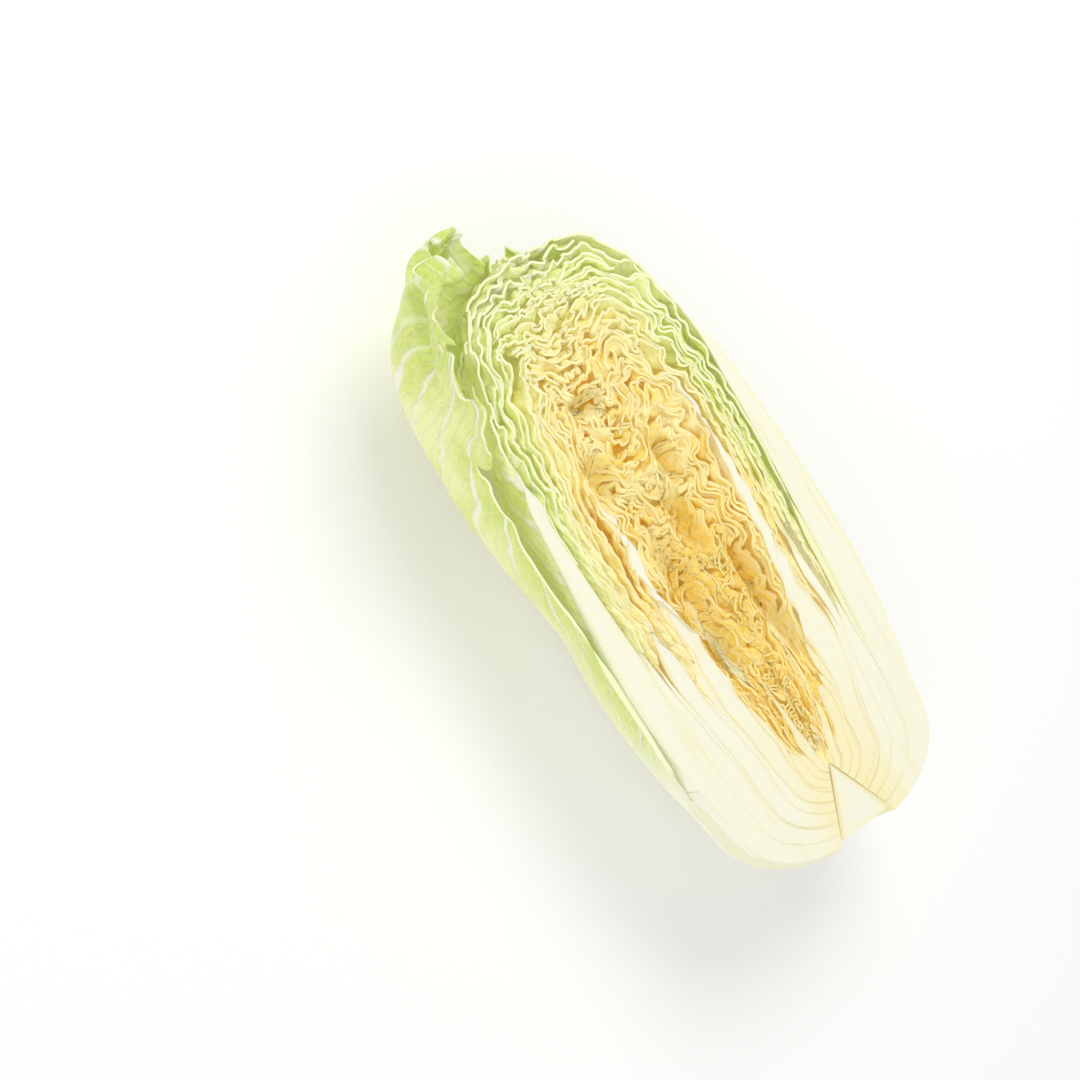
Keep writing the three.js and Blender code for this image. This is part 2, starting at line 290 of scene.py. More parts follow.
# %% [markdown]
# ## Outline, rib and firmness
# A leaf wraps round the growing point like a hand round a ball. Laid out flat from there, its outline is close to
# a parabola that opens towards the foot, with shallow scallops. The midrib is narrow near the tip and as broad as
# the leaf at the foot, up to 12 mm thick in the outer leaves. A midrib stays as it grew, and round the foot all
# leaves are pressed into one body of flesh. There the leaf is firm, and everywhere else it is soft.

# %% Outline, rib and firmness
RIB_THICKNESS = 12
BLADE_THICKNESS = 1.2
SOLID_FOOT = (80, 45)


def flat_reach(tilt):
    """Distance from the tip's direction when the leaf is laid out flat."""
    return np.tan(np.minimum(tilt, math.radians(78)))


def in_outline(leaf, tilt, turn):
    """Positive inside the leaf's outline."""
    reach = flat_reach(tilt)
    offset = turn - leaf.turn
    ahead = reach * np.cos(offset)
    aside = reach * np.sin(offset)
    scallop = 0.035 * np.sin(11 * offset + leaf.phase) * np.minimum(1, reach)
    return (ahead + leaf.over - leaf.narrow * aside**2 + scallop) / (1 + 2.5 * reach**2)


def rib_profile(leaf, tilt, turn):
    """The white midrib: 1 at its middle, 0 beside it."""
    offset = turn - leaf.turn
    past_tip = np.maximum(0, -flat_reach(tilt) * np.cos(offset))
    aside = shell_radius(leaf.size, tilt) * np.sin(tilt) * np.sin(offset)
    widening = np.clip((np.degrees(tilt) - 8) / 72, 0, 1) ** 0.8
    half_width = leaf.size * (4 + 42 * widening)
    return np.maximum(0, 1 - (aside / half_width) ** 2) * (1 - ease(past_tip, 0, 0.1))


def thickness(leaf, tilt, turn):
    taper = np.clip((0.9 - height_share(leaf.size, tilt)) / 0.75, 0, 1)
    blade = BLADE_THICKNESS * (0.75 + 0.25 * leaf.size)
    return blade + RIB_THICKNESS * leaf.size * taper * rib_profile(leaf, tilt, turn)


def firmness(leaf, tilt, turn):
    """1 on the thick part of the midrib and round the foot of the head, where the leaves are pressed together."""
    height = height_share(leaf.size, tilt)
    rib = ease(rib_profile(leaf, tilt, turn), 0.02, 0.3) * ease(height, 0.88, 0.66)
    packed = (0.31 + 0.09 * math.sin(2.5 * leaf.phase)) * ease(leaf.size, 0.4, 0.6)
    foot = ease(GROWING_POINT + shell_radius(leaf.size, tilt) * np.cos(tilt), *SOLID_FOOT)
    return np.maximum(rib, np.maximum(foot, ease(height, packed + 0.16, packed)))


print("thickness in the middle of each leaf, mm:",
      [round(float(thickness(leaf, math.radians(25), leaf.turn)), 1) for leaf in leaves])

# %% [markdown]
# ## Slots
# Along any ray the leaves that are there share out the depth of the head, each by its own thickness. What is left
# over in a leaf's slot is the room in which it can crumple. A firm leaf fills its slot instead, because packed
# ribs touch, and a gap between them would show as a black line in the cut.

# %% Slots
CLEARANCE = 0.16
HEART_SHARE = 0.03


def slot_of(leaf, tilt, turn):
    """Outer radius and depth of the leaf's slot, the leaf's own depth along the ray, and the share outside it."""
    rooms = []
    for other in leaves:
        blade = thickness(other, tilt, turn)
        packed = ease(height_share(other.size, tilt), 0.65, 0.3)
        loose = 1.1 + 0.9 * np.sin(2.4 * np.sin(tilt) * np.sin(turn) + other.phase) ** 2
        loose = loose * (1 - 0.6 * packed)
        there = ease(in_outline(other, tilt, turn), -0.15, 0)
        rooms.append(there * (blade + loose) * steepness(other.size, tilt) + 0.05)
    total = sum(rooms)
    outside = 1 - (1 - HEART_SHARE) * sum(rooms[:leaf.order], np.zeros_like(total)) / total
    below = np.maximum(HEART_SHARE, outside - (1 - HEART_SHARE) * rooms[leaf.order] / total)
    press = pressed(tilt, turn)
    outer = shell_radius(outside, tilt) * press
    depth = outer - shell_radius(below, tilt) * press
    full = np.maximum(depth - CLEARANCE, 0.6 * depth)
    own = np.minimum(thickness(leaf, tilt, turn) * steepness(leaf.size, tilt) * press, full)
    return outer, depth, own + (full - own) * firmness(leaf, tilt, turn), outside


# %% [markdown]
# ## Waves that never repeat
# A crumpled leaf has folds of much the same width, but no two alike. Adding up a few dozen plane waves whose
# lengths lie in a narrow band and whose directions are drawn at random gives just that. A noise texture would
# give folds of all sizes at once, which looks like stone. The quarter-turned copy of the same waves is kept too:
# pushed along it, a fold leans over its own foot, as a real one does.

# %% Random waves
WAVE_COUNT = 28


def random_waves(seed, shortest, longest):
    """A function of two coordinates that returns the waves and their quarter-turned copy, both about 1 high."""
    draw = np.random.RandomState(seed)
    angle = draw.uniform(0, 2 * math.pi, WAVE_COUNT)
    number = 2 * math.pi / draw.uniform(shortest, longest, WAVE_COUNT)
    start = draw.uniform(0, 2 * math.pi, WAVE_COUNT)
    across, deep = number * np.cos(angle), number * np.sin(angle)

    def waves(a, b):
        height = np.zeros(np.broadcast(a, b).shape)
        quarter = np.zeros_like(height)
        for k_a, k_b, phase in zip(across, deep, start):
            height += np.sin(k_a * a + k_b * b + phase)
            quarter += np.cos(k_a * a + k_b * b + phase) * np.sign(k_a)
        scale = math.sqrt(2 / WAVE_COUNT)
        return height * scale, quarter * scale

    return waves


print("waves of 4 to 8 mm, every 2 mm:", random_waves(1, 4, 8)(np.arange(0, 10, 2.0), 0)[0].round(2))

# %% [markdown]
# ### Folds that the inner leaves share
# Packed leaves press on each other, so a large fold in one leaf is a fold in its neighbours too. Added leaf by
# leaf such folds would cross. Here all of space is shifted instead, first across and then along, by waves that
# are low beside their own length. Leaves that lay side by side before the shift still do after it.

# %% Shared folds
SHARED_FOLDS = [(random_waves(5, 30, 55), random_waves(6, 30, 55), 1.6),
                (random_waves(7, 11, 19), random_waves(8, 11, 19), 1.1),
                (random_waves(9, 9, 15), random_waves(10, 9, 15), 0.7)]


def shared_folds(points, share):
    """Points after the shifts, which fade out towards the outer leaves, the side ribs and the foot."""
    x, y, z = points[..., 0], points[..., 1], points[..., 2]
    ribs = ease(np.abs(x), 26, 44) * ease(y, 225, 185)
    soft = ease(share, 1.01, 0.9) * ease(y, 60, 130) * (1 - ribs)
    for across, along, height in SHARED_FOLDS:
        x = x + height * soft * across(y, 0.8 * z + 0.5 * x)[0]
        y = y + height * soft * along(x, 0.8 * z + 0.5 * y)[0]
    return np.stack([x, y, z], axis=-1)


# %% [markdown]
# ## The grid of a leaf
# A leaf is a grid: rows run from the tip to the foot, columns run round the head. Rows are close together and
# columns crowd together near the cut, because that is where the crumples show. The grid gives a middle surface,
# which is then given thickness, cut along the outline and closed. Modelling the sheet first and thickening it
# last keeps the cut edge as wide as a real leaf however sharply it folds.

# %% Rows and columns
ROW_SPACING = 0.75
WRAPPER_ROW_SPACING = 1.3
STEM_GAP = math.radians(0.35)
STEM_TILT = math.pi - math.atan2(STEM_RADIUS, GROWING_POINT - 1) + STEM_GAP
COLUMN_DEPTHS = np.array([0, 0.8, 1.8, 3.0, 4.6, 6.8, 10.5, 17, 28, 42, 56])
WRAPPER_TURN_STEPS = np.arange(-80, 81, 4.0)
LOOSE_TURN_STEPS = np.concatenate([np.arange(-112, -60, 1.0), np.arange(-60, 91, 3.0)])


def tilt_rows(share, spacing):
    """Tilts from the tip to the stem that are evenly spaced along a shell, and their distances from the tip."""
    tilt = np.linspace(0, STEM_TILT, 3000)
    radius = shell_radius(share, tilt)
    outline = np.stack([radius * np.sin(tilt), radius * np.cos(tilt)])
    length = np.concatenate([[0], np.cumsum(np.hypot(*np.diff(outline)))])
    along = np.linspace(0, length[-1], max(12, int(length[-1] / spacing)) + 1)
    return np.interp(along, length, tilt), along


def turn_columns(leaf):
    """Turns from -90 to 90 degrees at fixed depths below the cut, and for outer leaves evenly spaced ones too."""
    if leaf.order == 0:
        return np.radians(LOOSE_TURN_STEPS)
    half_width = shell_half_width(leaf.size)
    depths = COLUMN_DEPTHS[COLUMN_DEPTHS < 0.93 * half_width]
    side = math.pi / 2 - np.arcsin(depths / half_width)
    turns = np.concatenate([-side, [0], side[::-1]])
    return np.union1d(turns.round(4), np.radians(WRAPPER_TURN_STEPS).round(4)) if leaf.wraps else turns


print("rows and columns of the largest head leaf:", len(tilt_rows(leaves[4].size, ROW_SPACING)[0]),
      len(turn_columns(leaves[4])))

# %% [markdown]
# ### Ruffles
# Each sheet also has small ruffles of its own, as high as its slot has room for. A soft leaf is pleated so
# closely that the knife meets it more than once, so a slot holds two sheets there, one in each half of its depth.
# The ruffles run square to the cut, which draws them as wavy lines on the cut face.

# %% Ruffles
RUFFLE_LENGTHS = {"wrapper": (7, 13), "head": (4.5, 7.5), "heart": (3.8, 6.5)}
RUFFLE_LIMIT = 3.4
OVERHANG = 1.5
SHEETS = 2


def soft_part(leaf, tilt, turn):
    """1 where the leaf is thin and soft, 0 on the midrib and near the foot."""
    if leaf.wraps:
        top = ease_degrees(tilt, 26, 12) if leaf.order else np.zeros(tilt.shape)
        return (1 - firmness(leaf, tilt, turn)) * np.maximum(top, 0.12)
    return (1 - firmness(leaf, tilt, turn)) * ease(height_share(leaf.size, tilt), 0.2, 0.42)


def normals_of(points):
    """Unit normals of a grid of points, pointing out of the head."""
    normal = np.cross(np.gradient(points, axis=0), np.gradient(points, axis=1))
    return normal / np.maximum(np.linalg.norm(normal, axis=-1, keepdims=True), 1e-9)


def middle_surface(leaf, layer, tilt, turn, along):
    """The middle surface with its ruffles, the half thickness as a number and along the ray, and the share."""
    outer, depth, own, share = slot_of(leaf, tilt, turn)
    soft = soft_part(leaf, tilt, turn)
    start = 0.5 * soft if leaf.wraps else (0.25 + 0.5 * layer) * soft
    radius = outer - (depth - own - CLEARANCE) * start - own / 2
    base = shared_folds(on_ray(tilt, turn, np.maximum(radius, 0.5)), share)
    slant = steepness(leaf.size, tilt)
    half_thick = own / slant / 2
    room = np.maximum(0, (depth / (1 if leaf.wraps else SHEETS) - own) / slant / 2 - 0.05)
    waves = random_waves(100 + leaf.order + 50 * layer, *RUFFLE_LENGTHS[leaf.kind])
    height, quarter = waves(along * np.sin(turn), 0.9 * base[..., 2])
    swing = np.tanh(1.2 * height)
    reach = np.minimum(room, RUFFLE_LIMIT) * soft
    lean = np.gradient(base, axis=0)
    lean /= np.maximum(np.linalg.norm(lean, axis=-1, keepdims=True), 1e-9)
    lean = lean * np.sin(turn)[..., None]
    overhang = -OVERHANG * swing * quarter * soft * np.clip(room / 1.5, 0, 1)
    middle = base + normals_of(base) * (reach * swing)[..., None] + lean * overhang[..., None]
    return middle, half_thick, on_ray(tilt, turn, own / 2) - on_ray(tilt, turn, 0 * own), share


# %% [markdown]
# ### The loose leaf
# The outermost leaf stands away from the head at the upper left. Towards the tip it keeps its distance from the
# shells below, bulges at the shoulder and curls back in over the cut as a flap. The gap and the curl stretch its
# distance from the growing point by a smooth number, which can't fold the sheet over itself, and the shoulder is
# a shift sideways. Its free margin is frilled and torn. The other outer leaves only lift a little where nothing
# covers their margins.

# %% The loose leaf
LOOSE_TURN = -90
LOOSE_GAP = 0.18
LOOSE_CURL = 0.12
LOOSE_SHOULDER = 12
MARGIN_TURN = math.radians(-85)
FLAP_TURN = math.radians(-107)
FLARE = 0.07


def flare(leaf, tilt, turn):
    """How far an uncovered margin stands out, as a share of the radius."""
    edge = 1 - ease(in_outline(leaf, tilt, turn), -0.02, 0.16)
    uncovered = np.ones(tilt.shape)
    for outer in leaves[:leaf.order]:
        uncovered = uncovered * ease(in_outline(outer, tilt, turn), -0.16, -0.34)
    clear = ease(np.abs(turn), REST_TURN, 3 * REST_TURN) * ease_degrees(tilt, 80, 50)
    frill = 0.55 + 0.45 * np.sin(14 * turn + 9 * tilt + leaf.phase)
    return FLARE * edge * uncovered * clear * frill


def looseness(tilt, turn):
    """How far the loose leaf stands away from its shell, as a share of the radius."""
    upper = ease_degrees(tilt, 34, 22) * (0.4 + 0.6 * ease_degrees(tilt, 8, 20))
    side = ease_degrees(turn, LOOSE_TURN + 60, LOOSE_TURN + 28)
    back = ease_degrees(turn, LOOSE_TURN + 28, LOOSE_TURN)
    curl = ease_degrees(turn, LOOSE_TURN, LOOSE_TURN - 34)
    return upper * (LOOSE_GAP * side * (1 - 0.67 * back) - LOOSE_CURL * curl)


def loose_shoulder(tilt, turn):
    """How far the loose leaf is moved outwards at its shoulder."""
    upper = ease_degrees(tilt, 24, 10) * ease_degrees(tilt, 0, 8)
    return LOOSE_SHOULDER * upper * ease_degrees(turn, LOOSE_TURN + 70, LOOSE_TURN + 30)


def loose_outline(tilt, turn):
    """Positive inside the free margin of the loose leaf, which runs out into the flap near the tip."""
    limit = MARGIN_TURN + (FLAP_TURN - MARGIN_TURN) * ease_degrees(tilt, 22, 16)
    limit = limit - math.radians(3.5) * ease_degrees(tilt, 28, 36)
    ragged = 0.06 * random_waves(72, 0.04, 0.15)(tilt, 0.3 * turn)[0] * ease_degrees(tilt, 28, 20)
    return (turn - limit + ragged) * 0.5


# %% [markdown]
# ### Inside the box
# The frill and the shoulder could carry the loose leaf past the box of the solids, which are the part's true size.
# Cutting it off there would leave a straight edge. It is bent back instead, more the nearer it comes.

# %% Frill and box
FRILL_HEIGHT = 2.6
WALL = 0.8
HELD_BACK = [(0, -1, 3.0), (1, 1, 10.0), (2, 1, 4.0)]
box_low, box_high = (np.array(corner) / MM - HEAD_ORIGIN for corner in solid_box)


def held_back(points):
    """The loose leaf bent back near the box on its free sides: each an axis, a side, and where bending starts."""
    for axis, side, reach in HELD_BACK:
        limit = (box_high if side > 0 else box_low)[axis] - side * WALL
        near = side * (points[..., axis] - limit) + reach
        bent = limit + side * reach * (np.tanh(near / reach) - 1)
        points[..., axis] = np.where(near > 0, bent, points[..., axis])
    return points


def stand_out(leaf, middle, tilt, turn, along):
    """The middle surface of an outer leaf with its margins lifted, and of the loose leaf with all its own forms."""
    lift = flare(leaf, tilt, turn) + (looseness(tilt, turn) if leaf.order == 0 else 0)
    centre = np.array([0, GROWING_POINT, 0])
    middle = centre + (middle - centre) * (1 + lift)[..., None]
    if leaf.order:
        return middle
    middle[..., 0] -= loose_shoulder(tilt, turn)
    frilly = 1 - ease(np.minimum(in_outline(leaf, tilt, turn), loose_outline(tilt, turn)), 0, 0.14)
    frill = random_waves(71, 11, 24)(along, 90 * turn)[0] * FRILL_HEIGHT * frilly * ease_degrees(tilt, 28, 20)
    return held_back(middle + normals_of(middle) * frill[..., None])


print("the loose leaf at its shoulder is moved out by, mm:",
      round(float(loose_shoulder(math.radians(9), math.radians(LOOSE_TURN))), 1))

# %% [markdown]
# ### The cut
# Firm flesh is cut level. A soft leaf gives way under the knife and springs back a millimetre or two below it.
# Beside the ribs of the heart the small leaves have shrunk away from the cut and left deep golden hollows. Both
# are made by lowering the sheets near the cut, and less and less further in, where nothing moves any more.

# %% The cut
CUT_UNEVENNESS = 2.2
HOLLOW_DEPTH = 11
HOLLOWS = [(-15, 122, 6, 36), (18, 112, 5, 30), (3, 160, 5, 14), (-24, 196, 5, 9), (12, 188, 4, 11),
           (-10, 228, 7, 4)]
UNEVENNESS_FADE = 5
HOLLOW_FADE = 14


def hollow(points, soft):
    """Depth of the hollows. Each has a middle x and y and two half sizes, in head millimetres."""
    depth = sum(np.exp(-((points[..., 0] - x) / across) ** 4 - ((points[..., 1] - y) / along) ** 4)
                for x, y, across, along in HOLLOWS)
    return HOLLOW_DEPTH * depth * soft


def lower_cut(leaf, layer, surface, soft, tilt, turn, along):
    """Lower one side of a sheet near the cut."""
    sunk = random_waves(300 + leaf.order + 50 * layer, 14, 30)(along * np.sin(turn), 0 * tilt)[0]
    sunk = CUT_UNEVENNESS * soft * np.clip(0.5 + 0.5 * sunk, 0, 1)
    surface[..., 2] = np.minimum(surface[..., 2], 0)
    deep = surface[..., 2]
    surface[..., 2] -= sunk * np.exp(deep / UNEVENNESS_FADE) + hollow(surface, soft) * np.exp(deep / HOLLOW_FADE)


# %% [markdown]
# ### Outline of a sheet
# The outlines of the inner leaves run a little further at the foot, so that no gap shows round the stem. The
# loose leaf's tip is torn by waves. Waves can cut off scraps that would hang in the air, so patches of only a few
# grid points are left out.

# %% Outline of a sheet
SMALLEST_PATCH = 80
SMALLEST_LOOSE_PATCH = 1000


def without_scraps(inside, smallest):
    """The outline without patches of fewer grid points than this."""
    level = inside.copy()
    waiting = set(map(tuple, np.argwhere(inside > 0).tolist()))
    while waiting:
        patch = [waiting.pop()]
        for row, column in patch:
            for point in ((row - 1, column), (row + 1, column), (row, column - 1), (row, column + 1)):
                if point in waiting:
                    waiting.remove(point)
                    patch.append(point)
        if len(patch) < smallest:
            for point in patch:
                level[point] = -0.01
    return level


def sheet_outline(leaf, layer, soft, tilt, turn, along):
    """Positive inside the outline of one sheet of the leaf. A second sheet is only there where the leaf is soft."""
    inside = in_outline(leaf, tilt, turn)
    if leaf.order == 0:
        torn = 0.012 * random_waves(73, 7, 18)(along, 60 * turn)[0] - 0.017
        inside = np.minimum(inside + torn * ease_degrees(tilt, 20, 12), loose_outline(tilt, turn))
        return without_scraps(inside, SMALLEST_LOOSE_PATCH)
    inside = inside + 0.13 * ease(height_share(leaf.size, tilt), 0.45, 0.2)
    if layer:
        inside = np.minimum(inside, soft - 0.6)
    return without_scraps(inside, SMALLEST_PATCH)


# %% [markdown]
# ### Values for the finish
# The shape knows things that a material can't find out alone, such as how near the midrib a point is, how near
# the margin, and how far out in the head. Each is written down for every point here, from 0 to 1, and read by
# name in the materials.

# %% Values for the finish
def finish_values(leaf, middle, share, inside, tilt, turn):
    """rib, core of the heart, margin, green, gold, white foot, and depth below the cut, which sets the painted
    shade.
    """
    x, y, z = middle[..., 0], middle[..., 1], middle[..., 2]
    rib = rib_profile(leaf, tilt, turn) * ease(height_share(leaf.size, tilt), 0.92, 0.7)
    side_foot = ease(y, 110 if leaf.wraps else 150, 50) * ease(np.abs(x), 12, 40)
    return {
        "rib": np.maximum(rib, (0 if leaf.wraps else 0.5) * firmness(leaf, tilt, turn)),
        "core": ease(np.abs(x - 3), 34, 12) * ease(y, 200, 130),
        "margin": 1 - ease(inside, 0, 0.16),
        "green": ease(share, 0.7, 0.93) * ease(y, 40, 150) * (1 - 0.5 * ease(y, 235, 275)),
        "gold": ease(share, 0.88, 0.6),
        "foot": np.maximum(side_foot, ease(y, 60, 40)),
        # painted shade: 0 at the cut and 1 from 10 mm below it, where the blade is painted a deeper gold
        "painted_depth_shade": ease(z, -1, -10),
    }


# %% [markdown]
# ### From middle surface to two sides
# Where a leaf is soft its thickness is laid square to the sheet. Where it is firm it is laid along the ray from
# the growing point, as its slot is, so that neighbours meet evenly. At the cut the thickness stays in the plane
# of the knife.

# %% Build the grid of one leaf
def leaf_grid(leaf, layer):
    """Outer and inner points of one sheet of the leaf, its outline, the values for its finish, and its map."""
    rows, along = tilt_rows(leaf.size, WRAPPER_ROW_SPACING if leaf.wraps else ROW_SPACING)
    tilt, turn = np.broadcast_arrays(rows[:, None], turn_columns(leaf)[None, :])
    along = np.broadcast_to(along[:, None], tilt.shape)
    middle, half_thick, half_ray, share = middle_surface(leaf, layer, tilt, turn, along)
    if leaf.wraps:
        middle = stand_out(leaf, middle, tilt, turn, along)
    outward = normals_of(middle)
    outward[0] = outward[1].mean(axis=0)
    outward[0] /= np.linalg.norm(outward[0, 0])
    if leaf.order:
        for edge in (0, -1):
            outward[:, edge, 2] = 0
    firm = firmness(leaf, tilt, turn)[..., None]
    step = outward * half_thick[..., None] * (1 - firm) + half_ray * firm
    sides = [middle + step, middle - step]
    soft = soft_part(leaf, tilt, turn)
    if leaf.order:
        for side in sides:
            lower_cut(leaf, layer, side, soft, tilt, turn, along)
    outer, inner = (np.clip(side, box_low, box_high) for side in sides)
    inside = sheet_outline(leaf, layer, soft, tilt, turn, along)
    aside = shell_radius(leaf.size, tilt) * np.sin(tilt) * (turn - leaf.turn)
    leaf_map = np.stack([aside, along[-1, 0] - along], axis=-1)
    return outer, inner, inside, finish_values(leaf, middle, share, inside, tilt, turn), leaf_map


# %% [markdown]
# ### Closing the sheet
# Grid squares inside the outline are kept, and those that it crosses are cut at the crossing, so that the margin
# is a smooth line and not a staircase. The inner side gets the same faces turned round, and a wall joins the two
# sides along every open edge. The wall is where the leaf was cut, so it gets the finish of cut flesh.

# %% Cut the grid along the outline and close it
def trimmed(inside, fields):
    """Faces of the grid inside the outline, and the fields with values for the crossings added."""
    rows, columns = inside.shape
    number = np.arange(rows * columns).reshape(rows, columns)
    number[0] = 0
    level = inside.reshape(-1).copy()
    level[:columns] = level[0]
    extra = {name: [] for name in fields}
    made = {}

    def crossing(p, q):
        key = (min(p, q), max(p, q))
        if key not in made:
            p, q = key
            part = float(np.clip(level[p] / (level[p] - level[q]), 0.05, 0.95))
            for name, field in fields.items():
                extra[name].append(field[p] * (1 - part) + field[q] * part)
            made[key] = rows * columns + len(made)
        return made[key]

    corners = np.stack([number[:-1, :-1], number[:-1, 1:], number[1:, 1:], number[1:, :-1]], axis=-1)
    corners = corners.reshape(-1, 4)
    kept = level[corners] > 0
    faces = corners[kept.all(axis=1)].tolist()
    for face in corners[kept.any(axis=1) & ~kept.all(axis=1)].tolist():
        loop = []
        for p, q in zip(face, face[1:] + face[:1]):
            if p == q:
                continue
            if level[p] > 0:
                loop.append(p)
            if (level[p] > 0) != (level[q] > 0):
                loop.append(crossing(p, q))
        if len(loop) > 2:
            faces.append(loop)
    faces = [list(dict.fromkeys(face)) for face in faces]
    return [face[::-1] for face in faces if len(face) > 2], {
        name: np.concatenate([field, np.array(extra[name]).reshape(-1, *field.shape[1:])])
        for name, field in fields.items()}


def closed_sheet(outer, inner, inside, values, leaf_map):
    """Vertices, faces, which faces are walls, and the finish values of one closed sheet."""
    fields = {"outer": outer.reshape(-1, 3), "inner": inner.reshape(-1, 3), "map": leaf_map.reshape(-1, 2)}
    fields |= {name: field.reshape(-1) for name, field in values.items()}
    faces, fields = trimmed(inside, fields)
    used = sorted({p for face in faces for p in face})
    renumber = {p: n for n, p in enumerate(used)}
    faces = [[renumber[p] for p in face] for face in faces]
    count = len(used)
    fields = {name: field[used] for name, field in fields.items()}
    edges = {(p, q) for face in faces for p, q in zip(face, face[1:] + face[:1])}
    walls = [[q, p, count + p, count + q] for p, q in edges if (q, p) not in edges]
    back = [[count + p for p in face[::-1]] for face in faces]
    points = np.concatenate([fields.pop("outer"), fields.pop("inner")])
    fields = {name: np.concatenate([field, field]) for name, field in fields.items()}
    fields["skin"] = np.concatenate([np.ones(count), -np.ones(count)])
    is_wall = np.arange(len(faces + back + walls)) >= len(faces + back)
    return points, faces + back + walls, is_wall, fields


def join_sheets(sheets):
    """Several closed sheets as one set of points and faces."""
    starts = np.cumsum([0] + [len(sheet[0]) for sheet in sheets])
    points = np.concatenate([sheet[0] for sheet in sheets])
    faces = [[p + int(start) for p in face] for sheet, start in zip(sheets, starts) for face in sheet[1]]
    walls = np.concatenate([sheet[2] for sheet in sheets])
    fields = {name: np.concatenate([sheet[3][name] for sheet in sheets]) for name in sheets[0][3]}
    return points, faces, walls, fields


smallest = closed_sheet(*leaf_grid(leaves[-1], 0))
print("smallest heart leaf, first sheet: points", len(smallest[0]), "faces", len(smallest[1]))

# %% [markdown]
# ## Finishes
# A leaf is not one colour. It is white along the midrib and the veins, green where light reached it and golden
# where it did not, and it glows a little because light goes into it. The mesh carries a few values for this,
# worked out with the shape: how near the midrib a point is, how near the margin, how far out in the head. The
# materials turn these values into colour. Effects that several finishes share are node groups that are built
# once: the branching veins, the fine net between them, and the fibres of cut flesh.

# %% Node helpers
def group(name, inputs, outputs):
    """An empty node group with named sockets: (name, kind, value) for inputs and (name, kind) for outputs."""
    tree = bpy.data.node_groups.new(name, "ShaderNodeTree")
    for label, kind, value in inputs:
        socket = tree.interface.new_socket(label, in_out="INPUT", socket_type=kind)
        if value is not None:
            socket.default_value = value
    for label, kind in outputs:
        tree.interface.new_socket(label, in_out="OUTPUT", socket_type=kind)
    return tree, tree.nodes.new("NodeGroupInput"), tree.nodes.new("NodeGroupOutput")


def math_node(tree, operation, first, second=None, third=None):
    node = tree.nodes.new("ShaderNodeMath")
    node.operation = operation
    for socket, value in zip(node.inputs, (first, second, third)):
        if value is None:
            continue
        if isinstance(value, (int, float)):
            socket.default_value = value
        else:
            tree.links.new(value, socket)
    return node.outputs[0]


def ramp(tree, value, low, high, to_low=0.0, to_high=1.0):
    """A smooth step of a value from low to high."""
    node = tree.nodes.new("ShaderNodeMapRange")
    node.interpolation_type = "SMOOTHSTEP"
    tree.links.new(value, node.inputs["Value"])
    for name, number in (("From Min", low), ("From Max", high), ("To Min", to_low), ("To Max", to_high)):
        if isinstance(number, (int, float)):
            node.inputs[name].default_value = number
        else:
            tree.links.new(number, node.inputs[name])
    return node.outputs["Result"]


def mix_colors(tree, factor, first, second):
    node = tree.nodes.new("ShaderNodeMix")
    node.data_type = "RGBA"
    for socket, value in ((node.inputs[0], factor), (node.inputs[6], first), (node.inputs[7], second)):
        if isinstance(value, bpy.types.NodeSocket):
            tree.links.new(value, socket)
        else:
            socket.default_value = value
    return node.outputs[2]


def noise(tree, vector, scale, detail=2.0):
    node = tree.nodes.new("ShaderNodeTexNoise")
    tree.links.new(vector, node.inputs["Vector"])
    node.inputs["Scale"].default_value = scale
    node.inputs["Detail"].default_value = detail
    return node.outputs["Fac"]


def paint(red, green, blue):
    """A colour as it looks on a screen, 0 to 255, as the linear light that a shader wants."""
    return tuple((c / 255 / 12.92) if c / 255 <= 0.04045 else ((c / 255 + 0.055) / 1.055) ** 2.4
                 for c in (red, green, blue)) + (1.0,)


# %% [markdown]
# ### Veins
# Side veins leave the midrib in pairs that don't quite face each other, run outwards and towards the tip, and get
# thinner. On the leaf's own map, where one direction is the distance from the midrib and the other the distance
# along it, they are slanted stripes, bent a little by noise.

# %% Vein group
def vein_group():
    tree, given, put = group(
        "side_veins",
        [("Map", "NodeSocketVector", None), ("Pitch", "NodeSocketFloat", 0.16), ("Slant", "NodeSocketFloat", 1.1),
         ("Width", "NodeSocketFloat", 0.012), ("Wander", "NodeSocketFloat", 0.08)],
        [("Vein", "NodeSocketFloat")])
    parts = tree.nodes.new("ShaderNodeSeparateXYZ")
    tree.links.new(given.outputs["Map"], parts.inputs[0])
    aside, along = parts.outputs["X"], parts.outputs["Y"]
    far = math_node(tree, "ABSOLUTE", aside)
    side = math_node(tree, "MULTIPLY", math_node(tree, "SIGN", aside), 0.22)
    bend = math_node(tree, "SUBTRACT", noise(tree, given.outputs["Map"], 5.0, 1.0), 0.5)
    bend = math_node(tree, "MULTIPLY", bend, given.outputs["Wander"])
    climb = math_node(tree, "MULTIPLY", math_node(tree, "POWER", math_node(tree, "ADD", far, 0.001), 1.15),
                      given.outputs["Slant"])
    level = math_node(tree, "ADD", math_node(tree, "SUBTRACT", along, climb), bend)
    count = math_node(tree, "ADD", math_node(tree, "DIVIDE", level, given.outputs["Pitch"]), side)
    apart = math_node(tree, "ABSOLUTE", math_node(tree, "SUBTRACT", math_node(tree, "FRACT", count), 0.5))
    apart = math_node(tree, "MULTIPLY", apart, given.outputs["Pitch"])
    thin = ramp(tree, far, 0.0, 0.75, 1.0, 0.25)
    width = math_node(tree, "MULTIPLY", given.outputs["Width"], thin)
    edge, middle = (math_node(tree, "MULTIPLY", width, part) for part in (1.6, 0.3))
    tree.links.new(ramp(tree, apart, edge, middle), put.inputs["Vein"])
    return tree


side_veins = vein_group()

# %% [markdown]
# ### The fine net
# Between the side veins the leaf swells into small cushions, held down by a net of fine veins. Cells of a Voronoi
# texture have just this layout. Their edges are the net and the distance from an edge is the swelling.

